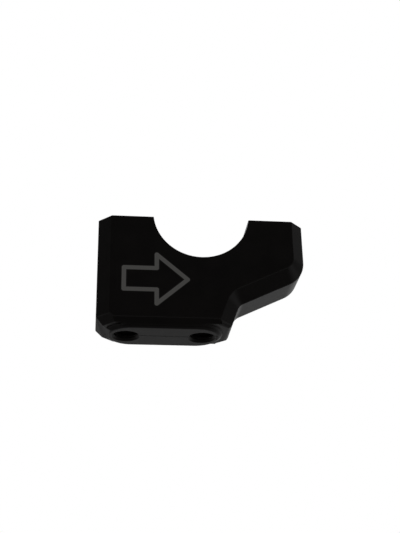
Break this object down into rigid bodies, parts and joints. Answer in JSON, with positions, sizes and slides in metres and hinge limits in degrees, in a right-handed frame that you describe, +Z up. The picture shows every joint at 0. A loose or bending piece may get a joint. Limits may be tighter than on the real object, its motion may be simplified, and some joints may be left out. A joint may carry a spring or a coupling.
{
  "type": "motorcycle bar riser",
  "caption": "Machined aluminium handlebar riser with a half-round bar saddle, an overhanging arm and a bolted foot.",
  "frame": {"origin": "midway between the two foot bolt holes, on the foot's lower face", "axes": "+Z up from the foot to the bar saddle, +X from the foot towards the overhanging arm, +Y along the handlebar"},
  "size_m": [0.0616, 0.0184, 0.0347],
  "materials": {
    "anodised_body": "black anodised, satin, over a finely milled surface"
  },
  "bodies": {
    "root": {"bar_riser": "anodised_body"}
  },
  "joints": []
}
